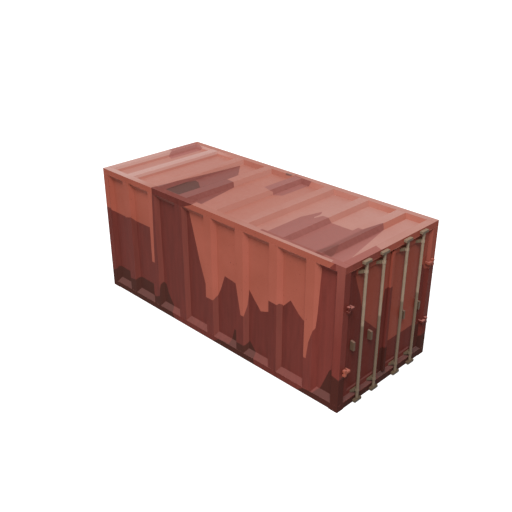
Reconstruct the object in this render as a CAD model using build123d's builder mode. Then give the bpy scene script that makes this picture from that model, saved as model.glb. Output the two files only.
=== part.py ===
from build123d import *
import os

# A steel shipping container with two doors in its +X end, standing on its bottom corner fittings.
# Millimetres. X runs along the container, the left side is at -Y, and Z = 0 is the ground.

# Overall size
length = 6058
width = 2438
height = 2591

# Frame members, as they show from outside
post_along = 148
post_across = 130
top_rail_height = 106
bottom_rail_top = 125
door_sill_top = 137
base_clearance = 12.5
member_wall = 4.5

# Bottom corner fittings, with the standard aperture that a twistlock goes up into
fitting_along = 178
fitting_across = 162
fitting_height = 118
fitting_wall = 16
fitting_plate = 28
aperture_length = 124
aperture_width = 63.5
aperture_pitch_along = 5853
aperture_pitch_across = 2259

# Pressed steel sheets of the walls and the roof
sheet_thickness = 2
trough_depth = 76
rib_width = 180
rib_pitch = 780
first_rib = 724
smallest_trough = 150
side_slope = 66
wall_end_slope = 98
roof_end_slope = 66

# Floor and what carries it
floor_thickness = 28
floor_edge_gap = 1
floor_seat_across = 76
cross_member_pitch = 450
cross_member_width = 45
cross_member_wall = 4

# Pressed surround of the door opening
reveal_depth = 45
reveal_width = 50
surround_plate = 6

# Door leaves
leaf_gap = 5
leaf_split = 20
leaf_meeting_gap = 15
leaf_depth = 40
leaf_frame_width = 80
leaf_frame_wall = 3
leaf_panel_recess = 20
leaf_panel_slope = 18
strip_width = 60
strip_proud = 39

# Hinges, the lower one from the leaf's foot and the upper one from its top
lower_hinge_inset = 543
upper_hinge_inset = 562
hinge_height = 108
hinge_proud = 50
hinge_blade_lap = 29
hinge_lug_across = 47
hinge_lug_height = 34
hinge_lug_gap = 2
hinge_foot_across = 23
hinge_blade_radius = 22
hinge_pin_radius = 12
hinge_pin_clearance = 0.05
hinge_pin_inset = 99
hinge_pin_proud = 27

# Lock rods, their guides and their keepers
inner_rod_from_middle = 306
outer_rod_inset = 470.5
rod_diameter = 50
rod_wall = 5
rod_proud = 25
rod_end_gap = 5
keeper_across = 170
keeper_proud = 60
keeper_height = 40
keeper_inset = 26
guide_foot_across = 220
guide_nose_across = 90
guide_height = 45
guide_rim = 5
guide_clearance = 0.05
lower_guide_inset = 29.5
upper_guide_inset = 55

# Catch boxes beside the rods
catch_offset = 142
catch_across = 40
catch_bottom = 1033
catch_height = 164
catch_depth = 76
catch_top_drop = 12

# Places worked out from the sizes above
half_length = length / 2
half_width = width / 2
panel_end = half_length - post_along
frame_inside = half_width - post_across
fitting_inside = half_length - fitting_along
top_rail_bottom = height - top_rail_height
opening_half = frame_inside - reveal_width
opening_bottom = door_sill_top + reveal_width
opening_top = top_rail_bottom - reveal_width
floor_bottom = opening_bottom - floor_thickness
leaf_face = half_length - reveal_depth
leaf_outer_edge = opening_half - leaf_gap
leaf_bottom = opening_bottom + leaf_gap
leaf_top = opening_top - leaf_gap
leaf_height = leaf_top - leaf_bottom
leaf_middle_height = (leaf_top + leaf_bottom) / 2
panel_face = leaf_face - leaf_panel_recess
rod_axis = half_length + rod_proud
pin_axis = half_length + hinge_pin_proud
hinge_pin_from_middle = half_width - hinge_pin_inset
hinge_inner_end = leaf_outer_edge - hinge_blade_lap
hinge_middles = (leaf_bottom + lower_hinge_inset, leaf_top - upper_hinge_inset)
rod_places = {"inner": inner_rod_from_middle, "outer": half_width - outer_rod_inset}
guide_middles = (leaf_bottom + lower_guide_inset, leaf_top - upper_guide_inset)
keeper_bottoms = {"lower": keeper_inset, "upper": height - keeper_inset - keeper_height}
side_signs = {"left": -1, "right": 1}
end_signs = {"front": -1, "door": 1}
leaf_inner_edges = {"left": leaf_split + leaf_meeting_gap, "right": -leaf_split}


def rib_edges(start, end, first, count):
    """Pairs of trough edges along a sheet, where ribs of one width stand between the troughs."""
    ribs = [first + number * rib_pitch for number in range(count)]
    starts = [start] + [rib + rib_width / 2 for rib in ribs]
    ends = [rib - rib_width / 2 for rib in ribs] + [end]
    return list(zip(starts, ends))


def pressed_sheet(face, along, across, troughs, depth, slope_along, slope_across):
    """Sheet whose outer side lies in face, with sloped troughs pressed inwards across it."""
    with BuildPart() as sheet:
        with BuildSketch(face):
            Rectangle(along, across)
        extrude(amount=sheet_thickness)
        for start, end in troughs:
            middle = (start + end) / 2
            for shift, mode in ((sheet_thickness, Mode.ADD), (0, Mode.SUBTRACT)):
                with BuildSketch(face.offset(shift)):
                    with Locations((middle, 0)):
                        Rectangle(end - start, across)
                with BuildSketch(face.offset(shift + depth)):
                    with Locations((middle, 0)):
                        Rectangle(end - start - 2 * slope_along, across - 2 * slope_across)
                loft(ruled=True, mode=mode)
    return sheet.part


def tube(face, along, across, run):
    """Rectangular tube that starts in face and runs along its normal."""
    with BuildPart() as member:
        with BuildSketch(face):
            Rectangle(along, across)
            Rectangle(along - 2 * member_wall, across - 2 * member_wall, mode=Mode.SUBTRACT)
        extrude(amount=run)
    return member.part


def stepped_rail(rail_end, lap_end, depth, run, lap_run):
    """Bottom rail with an inner seat for the floor; its outer strip laps over the bottom fittings."""
    step = depth - floor_seat_across
    with BuildPart() as rail:
        with BuildSketch(rail_end):
            with BuildLine():
                Polyline(
                    (0, base_clearance),
                    (0, bottom_rail_top),
                    (step, bottom_rail_top),
                    (step, floor_bottom),
                    (depth, floor_bottom),
                    (depth, base_clearance),
                    close=True,
                )
            make_face()
            offset(amount=-member_wall, kind=Kind.INTERSECTION, mode=Mode.SUBTRACT)
        extrude(amount=run)
        with BuildSketch(lap_end):
            with Locations((0, fitting_height)):
                Rectangle(step, bottom_rail_top - fitting_height, align=(Align.MIN, Align.MIN))
        extrude(amount=lap_run)
    return rail.part


def keep(part, name):
    """Label a finished piece and write it out."""
    part.label = name
    export_step(part, f"parts/{name}.step")


os.makedirs("parts", exist_ok=True)

# Side walls, with a rib between each two troughs
rib_room = panel_end + half_length - first_rib - rib_width / 2 - smallest_trough
rib_count = int(rib_room // rib_pitch) + 1
side_troughs = rib_edges(-panel_end, panel_end, first_rib - half_length, rib_count)
wall_height = top_rail_bottom - bottom_rail_top
wall_middle = (top_rail_bottom + bottom_rail_top) / 2
for side, sign in side_signs.items():
    wall_face = Plane(origin=(0, sign * half_width, wall_middle), x_dir=(1, 0, 0), z_dir=(0, -sign, 0))
    side_wall = pressed_sheet(
        wall_face, 2 * panel_end, wall_height, side_troughs, trough_depth, side_slope, wall_end_slope
    )
    keep(side_wall, f"{side}_side_wall")

# Roof panel, whose ribs line up with those of the walls
roof_face = Plane(origin=(0, 0, height), x_dir=(1, 0, 0), z_dir=(0, 0, -1))
roof_panel = pressed_sheet(
    roof_face, 2 * panel_end, 2 * frame_inside, side_troughs, trough_depth, side_slope, roof_end_slope
)
keep(roof_panel, "roof_panel")

# Front wall, the closed end at -X
front_rib_count = int(2 * frame_inside // rib_pitch)
front_first_rib = -rib_pitch * (front_rib_count - 1) / 2
front_troughs = rib_edges(-frame_inside, frame_inside, front_first_rib, front_rib_count)
front_face = Plane(origin=(-half_length, 0, wall_middle), x_dir=(0, 1, 0), z_dir=(1, 0, 0))
front_wall = pressed_sheet(
    front_face, 2 * frame_inside, wall_height, front_troughs, trough_depth, side_slope, wall_end_slope
)
keep(front_wall, "front_wall")

# Corner posts, standing on the bottom fittings
for end, end_sign in end_signs.items():
    for side, sign in side_signs.items():
        post_middle = (
            end_sign * (half_length - post_along / 2),
            sign * (half_width - post_across / 2),
            fitting_height,
        )
        post = tube(Plane(origin=post_middle), post_along, post_across, top_rail_bottom - fitting_height)
        keep(post, f"{end}_{side}_post")

# Top corner blocks, flush with the posts and the rails
with BuildPart() as top_corner_blocks:
    with BuildSketch(Plane.XY.offset(top_rail_bottom)):
        with GridLocations(length - post_along, width - post_across, 2, 2):
            Rectangle(post_along, post_across)
    extrude(amount=top_rail_height)
keep(top_corner_blocks.part, "top_corner_blocks")

# Bottom corner fittings, hollow castings with an aperture in the underside
for end, end_sign in end_signs.items():
    for side, sign in side_signs.items():
        fitting_middle = (
            end_sign * (half_length - fitting_along / 2),
            sign * (half_width - fitting_across / 2),
        )
        aperture_middle = (
            end_sign * aperture_pitch_along / 2,
            sign * aperture_pitch_across / 2,
        )
        with BuildPart() as fitting:
            with BuildSketch():
                with Locations(fitting_middle):
                    Rectangle(fitting_along, fitting_across)
            extrude(amount=fitting_height)
            with BuildSketch(Plane.XY.offset(fitting_plate)):
                with Locations(fitting_middle):
                    Rectangle(fitting_along - 2 * fitting_wall, fitting_across - 2 * fitting_wall)
            extrude(amount=fitting_height - 2 * fitting_plate, mode=Mode.SUBTRACT)
            with BuildSketch():
                with Locations(aperture_middle):
                    SlotOverall(aperture_length, aperture_width)
            extrude(amount=fitting_plate, mode=Mode.SUBTRACT)
        keep(fitting.part, f"{end}_{side}_bottom_fitting")

# Side rails, the top ones between the corner blocks and the bottom ones between the fittings
for side, sign in side_signs.items():
    top_rail_end = Plane(
        origin=(-panel_end, sign * (half_width - post_across / 2), height - top_rail_height / 2),
        x_dir=(0, 1, 0),
        z_dir=(1, 0, 0),
    )
    keep(tube(top_rail_end, post_across, top_rail_height, 2 * panel_end), f"{side}_top_rail")
    bottom_rail_end = Plane(
        origin=(sign * fitting_inside, sign * half_width, 0), x_dir=(0, -sign, 0), z_dir=(-sign, 0, 0)
    )
    bottom_lap_end = Plane(
        origin=(sign * panel_end, sign * half_width, 0), x_dir=(0, -sign, 0), z_dir=(-sign, 0, 0)
    )
    bottom_rail = stepped_rail(
        bottom_rail_end, bottom_lap_end, post_across, 2 * fitting_inside, 2 * panel_end
    )
    keep(bottom_rail, f"{side}_bottom_rail")

# Front sill, stepped like the side rails
sill_end = half_width - fitting_across
front_sill_end = Plane(origin=(-half_length, sill_end, 0), x_dir=(1, 0, 0), z_dir=(0, -1, 0))
front_lap_end = Plane(origin=(-half_length, frame_inside, 0), x_dir=(1, 0, 0), z_dir=(0, -1, 0))
front_sill = stepped_rail(front_sill_end, front_lap_end, post_along, 2 * sill_end, 2 * frame_inside)
keep(front_sill, "front_sill")

# Headers, across both ends between the top corner blocks
for end, end_sign in end_signs.items():
    header_end = Plane(
        origin=(end_sign * (half_length - post_along / 2), -frame_inside, height - top_rail_height / 2),
        x_dir=(1, 0, 0),
        z_dir=(0, 1, 0),
    )
    keep(tube(header_end, post_along, top_rail_height, 2 * frame_inside), f"{end}_header")

# Door sill, a tube between the fittings whose top plate laps over them as far as the posts
with BuildPart() as door_sill:
    with BuildSketch(Plane.XZ.offset(-sill_end)):
        with Locations((panel_end, base_clearance)):
            Rectangle(post_along, door_sill_top - base_clearance, align=(Align.MIN, Align.MIN))
        with Locations((panel_end + member_wall, base_clearance + member_wall)):
            Rectangle(
                post_along - 2 * member_wall,
                fitting_height - base_clearance - member_wall,
                align=(Align.MIN, Align.MIN),
                mode=Mode.SUBTRACT,
            )
    extrude(amount=2 * sill_end)
    with BuildSketch(Plane.XZ.offset(-frame_inside)):
        with Locations((panel_end, fitting_height)):
            Rectangle(post_along, door_sill_top - fitting_height, align=(Align.MIN, Align.MIN))
    extrude(amount=2 * frame_inside)
keep(door_sill.part, "door_sill")

# Door surround, a pressed frame that slopes in from the posts, the header and the sill
opening_middle_height = (top_rail_bottom + door_sill_top) / 2
mouth_height = top_rail_bottom - door_sill_top
throat_height = opening_top - opening_bottom
surround_face = Plane(
    origin=(half_length, 0, opening_middle_height), x_dir=(0, 1, 0), z_dir=(-1, 0, 0)
)
with BuildPart() as door_surround:
    for plate, mode in ((surround_plate, Mode.ADD), (0, Mode.SUBTRACT)):
        with BuildSketch(surround_face):
            Rectangle(2 * (frame_inside + plate), mouth_height + 2 * plate)
        with BuildSketch(surround_face.offset(reveal_depth)):
            Rectangle(2 * (opening_half + plate), throat_height + 2 * plate)
        loft(ruled=True, mode=mode)
        with BuildSketch(surround_face.offset(reveal_depth)):
            Rectangle(2 * (opening_half + plate), throat_height + 2 * plate)
        extrude(amount=post_along - reveal_depth, mode=mode)
    with BuildSketch(surround_face.offset(post_along - surround_plate)):
        Rectangle(2 * frame_inside, mouth_height)
        Rectangle(2 * opening_half, throat_height, mode=Mode.SUBTRACT)
    extrude(amount=surround_plate)
    with BuildSketch(surround_face):
        Rectangle(2 * frame_inside, mouth_height)
    extrude(amount=post_along, mode=Mode.INTERSECT)
keep(door_surround.part, "door_surround")

# Floor, with a tongue between the front posts, and the cross members that carry it
floor_front = trough_depth + sheet_thickness + floor_edge_gap - half_length
floor_half = half_width - trough_depth - sheet_thickness - floor_edge_gap
with BuildPart() as floor:
    with BuildSketch(Plane.XY.offset(floor_bottom)):
        Rectangle(2 * panel_end, 2 * floor_half)
        with Locations((floor_front, 0)):
            Rectangle(-panel_end - floor_front, 2 * frame_inside, align=(Align.MIN, Align.CENTER))
    extrude(amount=floor_thickness)
keep(floor.part, "floor")

cross_member_count = int((2 * panel_end - cross_member_width) // cross_member_pitch) + 1
cross_member_height = floor_bottom - base_clearance
cross_member_middle = (floor_bottom + base_clearance) / 2
with BuildPart() as cross_members:
    with BuildSketch(Plane.XZ.offset(-frame_inside)):
        with Locations((0, cross_member_middle)):
            with GridLocations(cross_member_pitch, 0, cross_member_count, 1):
                Rectangle(cross_member_width, cross_member_height)
        with Locations((cross_member_wall, cross_member_middle)):
            with GridLocations(cross_member_pitch, 0, cross_member_count, 1):
                Rectangle(
                    cross_member_width,
                    cross_member_height - 2 * cross_member_wall,
                    mode=Mode.SUBTRACT,
                )
    extrude(amount=2 * frame_inside)
keep(cross_members.part, "cross_members")

# Door leaves: a closed tube frame, a panel pressed back inside it
for side, sign in side_signs.items():
    leaf_width = leaf_outer_edge - leaf_inner_edges[side]
    leaf_middle = sign * (leaf_outer_edge + leaf_inner_edges[side]) / 2
    leaf_plane = Plane(
        origin=(leaf_face, leaf_middle, leaf_middle_height), x_dir=(0, 1, 0), z_dir=(-1, 0, 0)
    )
    panel_width = leaf_width - 2 * leaf_frame_width
    panel_height = leaf_height - 2 * leaf_frame_width
    with BuildPart() as leaf_frame:
        with BuildSketch(leaf_plane):
            Rectangle(leaf_width, leaf_height)
            Rectangle(panel_width, panel_height, mode=Mode.SUBTRACT)
        extrude(amount=leaf_depth)
        with BuildSketch(leaf_plane.offset(leaf_frame_wall)):
            Rectangle(leaf_width - 2 * leaf_frame_wall, leaf_height - 2 * leaf_frame_wall)
            Rectangle(
                panel_width + 2 * leaf_frame_wall,
                panel_height + 2 * leaf_frame_wall,
                mode=Mode.SUBTRACT,
            )
        extrude(amount=leaf_depth - 2 * leaf_frame_wall, mode=Mode.SUBTRACT)
    keep(leaf_frame.part, f"{side}_door_frame")
    door_panel = pressed_sheet(
        leaf_plane,
        panel_width,
        panel_height,
        [(-panel_width / 2, panel_width / 2)],
        leaf_panel_recess,
        leaf_panel_slope,
        leaf_panel_slope,
    )
    keep(door_panel, f"{side}_door_panel")

# Cover strip on the right leaf, beside the gap between the leaves
with BuildPart() as cover_strip:
    with BuildSketch(Plane.YZ.offset(leaf_face)):
        with Locations((-leaf_split, leaf_middle_height)):
            Rectangle(strip_width, leaf_height, align=(Align.MIN, Align.CENTER))
    extrude(amount=strip_proud)
keep(cover_strip.part, "cover_strip")

# Hinges: lugs with a pin on each post, and a blade on the leaf that turns between the lugs
for side, sign in side_signs.items():
    with BuildPart() as hinge_lugs:
        for middle in hinge_middles:
            hinge_bottom = middle - hinge_height / 2
            for lug_bottom in (hinge_bottom, hinge_bottom + hinge_height - hinge_lug_height):
                with BuildSketch(Plane.XY.offset(lug_bottom)):
                    with Locations((half_length + hinge_proud / 2, sign * hinge_pin_from_middle)):
                        Rectangle(hinge_proud, hinge_lug_across)
                extrude(amount=hinge_lug_height)
            with BuildSketch(Plane.XY.offset(hinge_bottom)):
                with Locations((pin_axis, sign * hinge_pin_from_middle)):
                    Circle(hinge_pin_radius)
            extrude(amount=hinge_height)
    keep(hinge_lugs.part, f"{side}_hinge_lugs")

    blade_run = hinge_pin_from_middle - hinge_inner_end
    blade_height = hinge_height - 2 * hinge_lug_height - 2 * hinge_lug_gap
    with BuildPart() as hinge_blades:
        for middle in hinge_middles:
            with BuildSketch(Plane.XY.offset(middle - blade_height / 2)):
                with Locations((pin_axis, sign * hinge_pin_from_middle)):
                    Circle(hinge_blade_radius)
                with Locations((pin_axis, sign * (hinge_inner_end + blade_run / 2))):
                    Rectangle(2 * hinge_blade_radius, blade_run)
                foot_length = pin_axis - leaf_face
                with Locations(
                    (leaf_face + foot_length / 2, sign * (hinge_inner_end + hinge_foot_across / 2))
                ):
                    Rectangle(foot_length, hinge_foot_across)
                with Locations((pin_axis, sign * hinge_pin_from_middle)):
                    Circle(hinge_pin_radius + hinge_pin_clearance, mode=Mode.SUBTRACT)
            extrude(amount=blade_height)
    keep(hinge_blades.part, f"{side}_hinge_blades")

# Lock rods, two on each leaf, with guides on the leaf and catch boxes beside them
lower_rod_end = keeper_bottoms["lower"] + keeper_height + rod_end_gap
upper_rod_end = keeper_bottoms["upper"] - rod_end_gap
for side, sign in side_signs.items():
    for place, from_middle in rod_places.items():
        with BuildPart() as lock_rod:
            with BuildSketch(Plane.XY.offset(lower_rod_end)):
                with Locations((rod_axis, sign * from_middle)):
                    Circle(rod_diameter / 2)
                    Circle(rod_diameter / 2 - rod_wall, mode=Mode.SUBTRACT)
            extrude(amount=upper_rod_end - lower_rod_end)
        keep(lock_rod.part, f"{side}_{place}_lock_rod")

    collar_radius = rod_diameter / 2 + guide_rim
    with BuildPart() as rod_guides:
        for middle in guide_middles:
            with BuildSketch(Plane.XY.offset(middle - guide_height / 2)):
                for from_middle in rod_places.values():
                    rod_side = sign * from_middle
                    with BuildLine():
                        Polyline(
                            (leaf_face, rod_side - guide_foot_across / 2),
                            (half_length, rod_side - guide_nose_across / 2),
                            (half_length, rod_side + guide_nose_across / 2),
                            (leaf_face, rod_side + guide_foot_across / 2),
                            close=True,
                        )
                    make_face()
                    with Locations((half_length + rod_proud / 2, sign * from_middle)):
                        Rectangle(rod_proud, 2 * collar_radius)
                    with Locations((rod_axis, sign * from_middle)):
                        Circle(collar_radius)
                        Circle(rod_diameter / 2 + guide_clearance, mode=Mode.SUBTRACT)
            extrude(amount=guide_height)
    keep(rod_guides.part, f"{side}_rod_guides")

    with BuildPart() as catch_boxes:
        for from_middle in rod_places.values():
            catch_edge = sign * (from_middle + catch_offset) - catch_across / 2
            with BuildSketch(Plane.XZ.offset(-catch_edge)):
                with BuildLine():
                    Polyline(
                        (panel_face, catch_bottom),
                        (panel_face + catch_depth, catch_bottom),
                        (panel_face + catch_depth, catch_bottom + catch_height - catch_top_drop),
                        (panel_face, catch_bottom + catch_height),
                        close=True,
                    )
                make_face()
            extrude(amount=-catch_across)
    keep(catch_boxes.part, f"{side}_catch_boxes")

# Keepers, blocks on the header and the sill that hold the rods' ends
for level, keeper_bottom in keeper_bottoms.items():
    with BuildPart() as keepers:
        with BuildSketch(Plane.XY.offset(keeper_bottom)):
            for sign in side_signs.values():
                for from_middle in rod_places.values():
                    with Locations((half_length + keeper_proud / 2, sign * from_middle)):
                        Rectangle(keeper_proud, keeper_across)
        extrude(amount=keeper_height)
    keep(keepers.part, f"{level}_keepers")
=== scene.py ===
import math

import bpy
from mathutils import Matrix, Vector


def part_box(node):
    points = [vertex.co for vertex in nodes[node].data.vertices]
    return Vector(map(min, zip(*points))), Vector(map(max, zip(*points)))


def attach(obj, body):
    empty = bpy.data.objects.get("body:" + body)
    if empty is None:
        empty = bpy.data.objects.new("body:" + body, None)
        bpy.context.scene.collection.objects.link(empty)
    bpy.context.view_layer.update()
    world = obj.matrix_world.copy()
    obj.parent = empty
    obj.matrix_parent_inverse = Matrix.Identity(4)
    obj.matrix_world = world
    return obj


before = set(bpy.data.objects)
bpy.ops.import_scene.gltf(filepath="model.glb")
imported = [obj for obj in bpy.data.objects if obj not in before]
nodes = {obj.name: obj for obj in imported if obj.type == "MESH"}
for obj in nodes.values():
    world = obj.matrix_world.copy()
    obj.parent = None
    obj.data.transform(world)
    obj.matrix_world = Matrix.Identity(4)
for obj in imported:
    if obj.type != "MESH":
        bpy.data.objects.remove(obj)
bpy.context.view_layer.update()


def from_screen(red, green, blue):
    """A colour as it looks on a screen, 0 to 255, turned into the shader's linear values."""
    shares = [value / 255 for value in (red, green, blue)]
    linear = [s / 12.92 if s <= 0.04045 else ((s + 0.055) / 1.055) ** 2.4 for s in shares]
    return (*linear, 1.0)


# Colours of the walls, the roof and the door end
WALL_PAINT = from_screen(143, 73, 57)
WALL_PAINT_FADED = from_screen(161, 87, 71)
WALL_PRIMER = from_screen(90, 40, 34)
WALL_PRIMER_PALE = from_screen(118, 55, 48)
WALL_GRIME = from_screen(66, 37, 31)
ROOF_PAINT = from_screen(145, 82, 67)
ROOF_PAINT_FADED = from_screen(152, 91, 75)
ROOF_WORN = from_screen(104, 50, 43)
ROOF_WORN_PALE = from_screen(142, 87, 80)
ROOF_GRIME = from_screen(78, 48, 42)
DOOR_PAINT = from_screen(129, 63, 50)
DOOR_PAINT_FADED = from_screen(138, 69, 55)
DOOR_PRIMER = from_screen(90, 39, 33)
DOOR_PRIMER_PALE = from_screen(102, 48, 41)
DOOR_GRIME = from_screen(56, 31, 26)

# Colours of single stretches, of painted highlights and painted light in shade, of dust and of rust
# Painted highlight on the pressings' slopes, also the paler tone of the posts' sides
PALE_AND_HIGHLIGHT = from_screen(186, 116, 103)
# Paler header, also the painted highlight on the cover strip's left side where its paint holds
HEADER_PALE = from_screen(176, 92, 76)
# Painted light on what faces down under the header, where there is shade
UNDER_HEADER_LIGHT = from_screen(190, 112, 95)
POST_PALE = from_screen(124, 54, 46)
# Painted highlight on the cover strip's left side where its paint is worn
STRIP_WORN_HIGHLIGHT = from_screen(124, 60, 54)
# Dust on the roof, also used for the painted sheen on its ribs
ROOF_DUST_AND_SHEEN = from_screen(196, 172, 166)
LEDGE_DUST = from_screen(120, 84, 80)
SILL_DUST = from_screen(90, 67, 64)
HINGE_DUST = from_screen(152, 98, 90)
RUST = from_screen(104, 56, 32)

# Colours of the hinges, the lock gear, the inside and the underside
HINGE_PAINT = from_screen(160, 86, 68)
GEAR_STEEL = from_screen(145, 126, 107)
GEAR_STEEL_DULL = from_screen(108, 92, 76)
GEAR_BROWN_PALE = from_screen(132, 111, 92)
GEAR_BROWN = from_screen(85, 71, 56)
GUIDE_STEEL = from_screen(106, 87, 69)
# Painted highlight on the catch boxes' tops
CATCH_TOP_HIGHLIGHT = from_screen(112, 87, 75)
CATCH_SIDE = from_screen(92, 73, 58)
INNER_PAINT = from_screen(112, 66, 54)
INNER_SCUFF = from_screen(126, 84, 71)
UNDERSEAL = from_screen(44, 36, 32)
UNDERSEAL_PALE = from_screen(70, 52, 42)
FLOOR_PLY = from_screen(142, 108, 74)
FLOOR_PLY_DARK = from_screen(96, 68, 44)
RUBBER = from_screen(26, 25, 24)
RUBBER_PALE = from_screen(40, 38, 36)
WHITE = (1.0, 1.0, 1.0, 1.0)

# Where the paint ends above the primer on the walls: along the wall, height (metres)
WALL_PAINT_LINE = [
    (-3.040, 1.780), (-2.881, 1.780), (-2.874, 1.745), (-2.815, 1.693), (-2.470, 1.693),
    (-2.395, 1.730), (-2.215, 1.780), (-2.149, 1.703), (-1.640, 1.703), (-1.616, 1.040),
    (-1.540, 1.040), (-1.484, 2.480), (-1.475, 2.700), (-0.608, 2.700), (-0.521, 2.380),
    (-0.370, 1.825), (-0.290, 1.522), (-0.148, 1.097), (-0.080, 0.880), (0.125, 0.880),
    (0.162, 0.944), (0.188, 0.978), (0.266, 1.138), (0.377, 1.441), (0.640, 1.400),
    (0.730, 1.460), (0.840, 0.880), (0.910, 0.880), (0.955, 1.090), (0.980, 1.410),
    (1.256, 1.097), (1.428, 1.158), (1.480, 1.200), (1.505, 1.440), (1.680, 1.430),
    (1.717, 1.451), (1.771, 1.420), (1.923, 1.582), (2.105, 1.400), (2.196, 1.340),
    (2.262, 1.330), (2.287, 0.720), (2.340, 0.720), (2.380, 1.040), (2.460, 1.280),
    (2.493, 1.334), (2.509, 1.641), (2.525, 2.197), (2.545, 2.700), (3.040, 2.700),
]

# Below this line the walls are grimy: along the wall, height (metres)
WALL_GRIME_LINE = [
    (-3.040, 0.340), (-2.881, 0.420), (-2.844, 0.481), (-2.754, 0.481), (-2.480, 0.471),
    (-2.395, 0.390), (-2.220, 0.410), (-2.164, 0.467), (-2.108, 0.491), (-1.700, 0.481),
    (-1.615, 0.320), (-1.580, 0.280), (-1.450, 0.340), (-1.421, 0.600), (-1.382, 0.656),
    (-1.300, 0.632), (-1.260, 0.471), (-1.118, 0.249), (-1.060, 0.100), (-1.000, 0.000),
    (0.080, 0.000), (0.250, 0.120), (0.520, 0.140), (0.549, 0.269), (0.600, 0.451),
    (0.640, 0.451), (0.665, 0.300), (0.720, 0.280), (0.900, 0.280), (0.930, 0.300),
    (0.994, 0.400), (1.135, 0.228), (1.165, 0.000), (2.150, 0.000), (2.300, 0.110),
    (2.500, 0.125), (2.610, 0.249), (2.772, 0.653), (2.812, 0.693), (2.860, 0.690),
    (2.881, 0.660), (3.040, 0.620),
]

# Worn and grimy patches of the roof, each between two lines: along the roof, across it (metres)
ROOF_WORN_LOW = [
    (-3.040, 0.400), (-2.910, 0.420), (-2.831, 0.270), (-2.699, 0.230), (-2.685, 1.290),
    (-1.520, 1.290), (-1.500, -1.290), (-0.350, -1.290), (-0.330, 1.290), (-0.080, 1.290),
    (-0.055, 0.270), (0.125, 0.220), (0.160, 0.274), (0.207, 0.230), (0.345, 0.330),
    (0.349, 0.985), (0.372, 0.990), (0.376, 1.290), (1.200, 1.290), (1.230, -1.140),
    (2.740, -1.150), (2.780, -1.290), (3.040, -1.290),
]
ROOF_WORN_HIGH = [
    (-3.040, 1.100), (-2.950, 1.140), (-2.700, 1.060), (-2.680, 1.290), (-1.520, 1.290),
    (-1.500, -1.200), (-1.440, -0.774), (-1.413, -0.186), (-1.389, 0.367), (-1.372, 0.922),
    (-1.002, 0.514), (-0.970, 0.130), (-0.835, 0.070), (-0.640, 0.050), (-0.575, 0.000),
    (-0.392, -0.939), (-0.350, -1.250), (-0.330, 1.290), (-0.080, 1.290), (-0.055, 1.130),
    (0.372, 1.100), (0.376, 1.290), (1.190, 1.290), (1.220, -0.150), (1.270, 0.020),
    (1.335, 0.270), (1.386, 0.180), (1.410, -0.050), (1.530, -0.170), (1.570, 0.000),
    (1.690, 0.010), (1.748, 0.010), (2.179, 0.016), (2.290, 0.030), (2.370, 0.030),
    (2.450, 0.470), (2.525, 0.396), (2.778, -0.746), (2.860, -0.870), (2.885, -0.310),
    (3.040, -0.370),
]
ROOF_GRIME_LOW = [
    (-3.040, 1.290), (-1.400, 1.290), (-1.380, -0.960), (-1.022, -0.960), (-1.000, 1.290),
    (-0.290, 1.290), (-0.270, 1.070), (-0.120, 1.080), (-0.100, 1.290), (2.330, 1.290),
    (2.350, -1.100), (2.570, -1.000), (2.590, 1.290), (3.040, 1.290),
]
ROOF_GRIME_HIGH = [
    (-3.040, 1.290), (-1.400, 1.290), (-1.380, -0.480), (-1.368, -0.258),
    (-1.236, -0.299), (-1.022, -0.441), (-1.000, 1.290), (-0.290, 1.290), (-0.270, 1.110),
    (-0.120, 1.120), (-0.100, 1.290), (2.330, 1.290), (2.350, -1.090), (2.440, -0.680),
    (2.470, -0.680), (2.570, -0.980), (2.590, 1.290), (3.040, 1.290),
]

# Where the paint ends on the door end, and the grime below it: across the end, height (metres)
DOOR_PAINT_LINE = [
    (-1.230, 2.700), (-0.965, 2.700), (-0.880, 2.307), (-0.830, 2.163), (-0.729, 1.910),
    (-0.686, 1.742), (-0.577, 1.421), (-0.425, 1.287), (-0.240, 1.118), (-0.150, 1.060),
    (-0.116, 1.800), (0.062, 1.800), (0.085, 0.713), (0.845, 0.713), (0.880, 1.800),
    (0.960, 1.860), (1.000, 1.745), (1.089, 1.745), (1.230, 1.810),
]
DOOR_GRIME_LINE = [
    (-1.230, 0.640), (-1.089, 0.660), (-1.060, 0.120), (-0.130, 0.130), (-0.114, 0.690),
    (0.062, 0.660), (0.080, 0.130), (0.880, 0.130), (0.905, 0.680), (1.030, 0.680),
    (1.040, 0.400), (1.089, 0.420), (1.230, 0.440),
]

# Reach of the lines: heights of the walls and doors, widths across the roof (metres)
HEIGHTS = (0.0, 2.7)
WIDTHS = (-1.3, 1.3)

# The top rails have their own worn stretches, between slanting ends (metres)
RAIL_BOTTOM = 2.485
RAIL_WORN_FROM = -1.480
RAIL_WORN_TO = -0.580
RAIL_SLANT = 2.3
RAIL_WORN_AGAIN = 2.730
RAIL_SLANT_AGAIN = 0.85

# Stretches of the door end with a look of their own, some of them painted light: places (metres)
# and how strong they are
DOOR_PLACE = 3.0
HEADER_WORN_TO = -0.280
HEADER_PALE_FROM = 0.35
HEADER_PALE_BLUR = 0.9
HEADER_PALE_SHARE = 0.2
# Down-facing faces above this height get painted light in their shade
UNDER_HEADER = 2.4
# The cover strip, in front of this place, gets a painted highlight on its left side
STRIP_FRONT = 2.985
STRIP_HIGHLIGHT_SHARE = 0.4
DULL_POST = 1.089
DULL_POST_SHARE = 0.1
PALE_POST = -1.06
PALE_POST_SHARE = 0.3
PALE_POST_GRIMY_SHARE = 0.1
LEAF_GRIME_SHARE = 0.8
SILL_DUST_SHARE = 0.6
LEAF_DUST_SHARE = 0.4

# Sides of the posts by the doors, paler upwards between two heights (metres)
POST_PLACE = 2.85
POST_FADE = (1.2, 2.5)
POST_FADE_SHARE = 0.2

# The roof's ribs get a painted sheen towards the closed end: from a place on, by its rise, at most
# so far
ROOF_RIB_BOTTOM = 2.55
SHEEN_START = -1.45
SHEEN_RISE = 1.1
SHEEN_MOST = 0.26
SHEEN_WHERE_WORN = 0.2

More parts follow.
